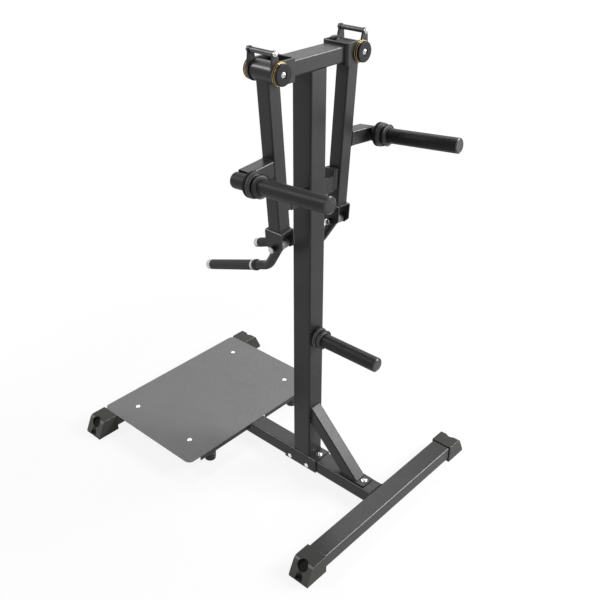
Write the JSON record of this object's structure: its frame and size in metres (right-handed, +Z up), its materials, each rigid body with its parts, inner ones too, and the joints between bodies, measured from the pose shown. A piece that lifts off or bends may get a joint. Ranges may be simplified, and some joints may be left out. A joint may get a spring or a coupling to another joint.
{
  "type": "standing lateral raise machine",
  "caption": "Plate-loaded gym machine: a column with two hanging swing arms, weight horns and swinging handles, raised sideways by a user standing on its platform.",
  "frame": {"origin": "on the floor under the middle of the machine's overall box", "axes": "+Z up, +Y away from the user's platform towards the rear foot, +X to the side with the right arm; the machine is mirrored left to right"},
  "size_m": [0.9204, 1.2, 1.611],
  "materials": {
    "powder_coat": "satin black powder coat",
    "tread": "dark grey anti-slip coat",
    "foot_rubber": "moulded matte",
    "bumper_rubber": "matte",
    "collar_rubber": "smooth matte",
    "grip_rubber": "matte",
    "cap_plastic": "satin",
    "zinc": "bright plated",
    "brass": "turned",
    "bush_bronze": "sintered"
  },
  "bodies": {
    "frame": {"rear_stabilizer": "powder_coat", "front_stabilizer": "powder_coat", "main_beam": "powder_coat", "rear_cap_right": "foot_rubber", "rear_cap_left": "foot_rubber", "front_cap_right": "foot_rubber", "front_cap_left": "foot_rubber", "upright": "powder_coat", "crossbar": "powder_coat", "upright_saddle": "powder_coat", "saddle_bolt_front": "zinc", "saddle_bolt_rear": "zinc", "brace": "powder_coat", "storage_peg": "powder_coat", "peg_collar": "collar_rubber", "platform_plate": "tread", "platform_rail_right": "powder_coat", "platform_rail_left": "powder_coat", "platform_foot_right": "foot_rubber", "platform_foot_left": "foot_rubber", "end_bracket_right": "powder_coat", "end_bracket_left": "powder_coat", "stop_rod_right": "powder_coat", "stop_rod_left": "powder_coat", "pivot_axle_right": "zinc", "pivot_axle_left": "zinc", "pivot_ring_rear_right": "brass", "pivot_ring_rear_left": "brass", "pivot_ring_front_right": "brass", "pivot_ring_front_left": "brass", "pivot_cap_rear_right": "cap_plastic", "pivot_cap_rear_left": "cap_plastic", "pivot_cap_front_right": "cap_plastic", "pivot_cap_front_left": "cap_plastic", "rest_bracket_right": "powder_coat", "rest_bracket_left": "powder_coat", "rest_bumper_right": "bumper_rubber", "rest_bumper_left": "bumper_rubber"},
    "right_arm": {"swing_arm_right": "powder_coat", "pivot_bush_right": "bush_bronze", "horn_bracket_right": "powder_coat", "weight_horn_right": "powder_coat", "horn_collar_right": "collar_rubber", "handle_yoke_right": "powder_coat", "handle_pin_right": "zinc"},
    "left_arm": {"swing_arm_left": "powder_coat", "pivot_bush_left": "bush_bronze", "horn_bracket_left": "powder_coat", "weight_horn_left": "powder_coat", "horn_collar_left": "collar_rubber", "handle_yoke_left": "powder_coat", "handle_pin_left": "zinc"},
    "right_handle": {"handle_bar_right": "powder_coat", "grip_ring_right": "zinc", "hand_grip_right": "grip_rubber", "grip_end_right": "zinc"},
    "left_handle": {"handle_bar_left": "powder_coat", "grip_ring_left": "zinc", "hand_grip_left": "grip_rubber", "grip_end_left": "zinc"}
  },
  "joints": [
    {"name": "right_arm_swing", "type": "hinge", "parent": "frame", "child": "right_arm", "pos_m": [0.181, 0.19195, 1.543], "axis": [0, -1, 0], "range_deg": [0, 132]},
    {"name": "left_arm_swing", "type": "hinge", "parent": "frame", "child": "left_arm", "pos_m": [-0.181, 0.19195, 1.543], "axis": [0, 1, 0], "range_deg": [0, 132]},
    {"name": "right_handle_swing", "type": "hinge", "parent": "right_arm", "child": "right_handle", "pos_m": [0.1358, 0.19195, 0.98483], "axis": [-0.9967, 0, 0.0807], "range_deg": [0, 90]},
    {"name": "left_handle_swing", "type": "hinge", "parent": "left_arm", "child": "left_handle", "pos_m": [-0.1358, 0.19195, 0.98483], "axis": [-0.9967, 0, -0.0807], "range_deg": [0, 90]}
  ]
}
